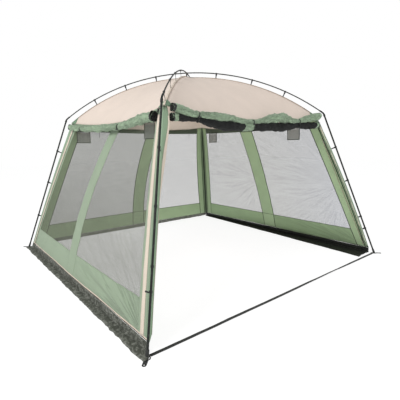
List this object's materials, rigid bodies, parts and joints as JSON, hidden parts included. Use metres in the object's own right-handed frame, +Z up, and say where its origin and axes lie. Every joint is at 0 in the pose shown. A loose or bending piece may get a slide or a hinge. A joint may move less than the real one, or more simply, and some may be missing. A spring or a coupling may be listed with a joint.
{
  "type": "screen house",
  "caption": "Free-standing square mesh shelter: crossed roof arches on four splayed legs, hung cloth roof, mesh walls, rolled-up door and covers, peg tabs.",
  "frame": {"origin": "on the floor under the crossing of the roof arches, at the middle of the square of the feet", "axes": "+Z up, -Y out of the door, +X to the right seen from the door"},
  "size_m": [3.5352, 3.5352, 2.3489],
  "materials": {
    "steel_black": "satin",
    "steel_grey": "satin",
    "plastic_black": "matte",
    "webbing_black": "matte",
    "eyelet_steel": "satin",
    "roof_cloth": "matte",
    "trim_beige": "matte",
    "green_cloth": "matte",
    "cover_green": "matte",
    "mesh_grey": "matte",
    "mesh_rolled": "matte",
    "tie_cord": "matte",
    "skirt_black": "matte",
    "zip_beige": "matte",
    "zip_metal": "satin"
  },
  "bodies": {
    "shelter": {"roof_arch_upper": "steel_grey", "roof_arch_lower": "steel_grey", "arch_inserts": "steel_grey", "elbow_n": "steel_black", "elbow_r": "steel_black", "elbow_b": "steel_black", "elbow_l": "steel_black", "roof_clips": "plastic_black", "leg_clips": "plastic_black", "clip_straps": "webbing_black", "roof_panel_front": "roof_cloth", "roof_panel_right": "roof_cloth", "roof_panel_back": "roof_cloth", "roof_panel_left": "roof_cloth", "roof_seam_bindings": "roof_cloth", "crown_patch": "roof_cloth", "corner_post_n": "green_cloth", "corner_post_r": "green_cloth", "corner_post_b": "green_cloth", "corner_post_l": "green_cloth", "seam_flaps": "trim_beige", "band_right": "green_cloth", "border_right": "green_cloth", "mesh_right": "mesh_grey", "band_back": "green_cloth", "border_back": "green_cloth", "mesh_back": "mesh_grey", "band_left": "green_cloth", "border_left": "green_cloth", "mesh_left": "mesh_grey", "skirt_left": "skirt_black", "skirt_back": "skirt_black", "skirt_right": "skirt_black", "cover_roll_front": "cover_green", "cover_roll_right": "cover_green", "cover_roll_back": "cover_green", "cover_roll_left": "cover_green", "mesh_roll_front": "mesh_rolled", "roll_ties": "tie_cord", "zip_tapes": "zip_beige", "inside_ties": "webbing_black", "peg_tabs": "webbing_black", "peg_eyelets": "eyelet_steel", "ground_strap": "webbing_black"},
    "leg_n": {"leg_n": "steel_black", "foot_cap_n": "plastic_black"},
    "leg_r": {"leg_r": "steel_black", "foot_cap_r": "plastic_black"},
    "leg_b": {"leg_b": "steel_black", "foot_cap_b": "plastic_black"},
    "leg_l": {"leg_l": "steel_black", "foot_cap_l": "plastic_black"},
    "zip_slider_n": {"zip_slider_n": "zip_metal"},
    "zip_pull_n": {"zip_pull_n": "zip_metal"},
    "zip_slider_r": {"zip_slider_r": "zip_metal"},
    "zip_pull_r": {"zip_pull_r": "zip_metal"},
    "pocket_right_front": {"pocket_right_front": "mesh_grey"},
    "pocket_right_back": {"pocket_right_back": "mesh_grey"},
    "pocket_left": {"pocket_left": "mesh_grey"},
    "pocket_back": {"pocket_back": "mesh_grey"}
  },
  "joints": [
    {"name": "leg_n_pull_off", "type": "slide", "parent": "shelter", "child": "leg_n", "axis": [-0.2625, -0.2625, -0.9285], "range_m": [0, 0.06]},
    {"name": "leg_r_pull_off", "type": "slide", "parent": "shelter", "child": "leg_r", "axis": [0.2625, -0.2625, -0.9285], "range_m": [0, 0.06]},
    {"name": "leg_b_pull_off", "type": "slide", "parent": "shelter", "child": "leg_b", "axis": [0.2625, 0.2625, -0.9285], "range_m": [0, 0.06]},
    {"name": "leg_l_pull_off", "type": "slide", "parent": "shelter", "child": "leg_l", "axis": [-0.2625, 0.2625, -0.9285], "range_m": [0, 0.06]},
    {"name": "zip_n_slide", "type": "slide", "parent": "shelter", "child": "zip_slider_n", "axis": [-0.2771, -0.2771, -0.92], "range_m": [0, 1.408]},
    {"name": "zip_n_pull_swing", "type": "hinge", "parent": "zip_slider_n", "child": "zip_pull_n", "pos_m": [-1.20313, -1.2055, 1.44946], "axis": [-0.9608, 0.0799, 0.2653], "range_deg": [0, 100]},
    {"name": "zip_r_slide", "type": "slide", "parent": "shelter", "child": "zip_slider_r", "axis": [0.2771, -0.2771, -0.92], "range_m": [0, 1.408]},
    {"name": "zip_r_pull_swing", "type": "hinge", "parent": "zip_slider_r", "child": "zip_pull_r", "pos_m": [1.20313, -1.2055, 1.44946], "axis": [-0.9608, -0.0799, -0.2653], "range_deg": [0, 100]},
    {"name": "pocket_swing_right_front", "type": "hinge", "parent": "shelter", "child": "pocket_right_front", "pos_m": [1.07456, -0.84, 1.65], "axis": [0, 1, 0], "range_deg": [-6, 80]},
    {"name": "pocket_swing_right_back", "type": "hinge", "parent": "shelter", "child": "pocket_right_back", "pos_m": [1.05856, 0.75, 1.65], "axis": [0, 1, 0], "range_deg": [-6, 80]},
    {"name": "pocket_swing_left", "type": "hinge", "parent": "shelter", "child": "pocket_left", "pos_m": [-1.05789, -0.75, 1.65], "axis": [0, -1, 0], "range_deg": [-6, 80]},
    {"name": "pocket_swing_back", "type": "hinge", "parent": "shelter", "child": "pocket_back", "pos_m": [-1.005, 1.1102, 1.65], "axis": [-1, 0, 0], "range_deg": [-6, 80]}
  ]
}
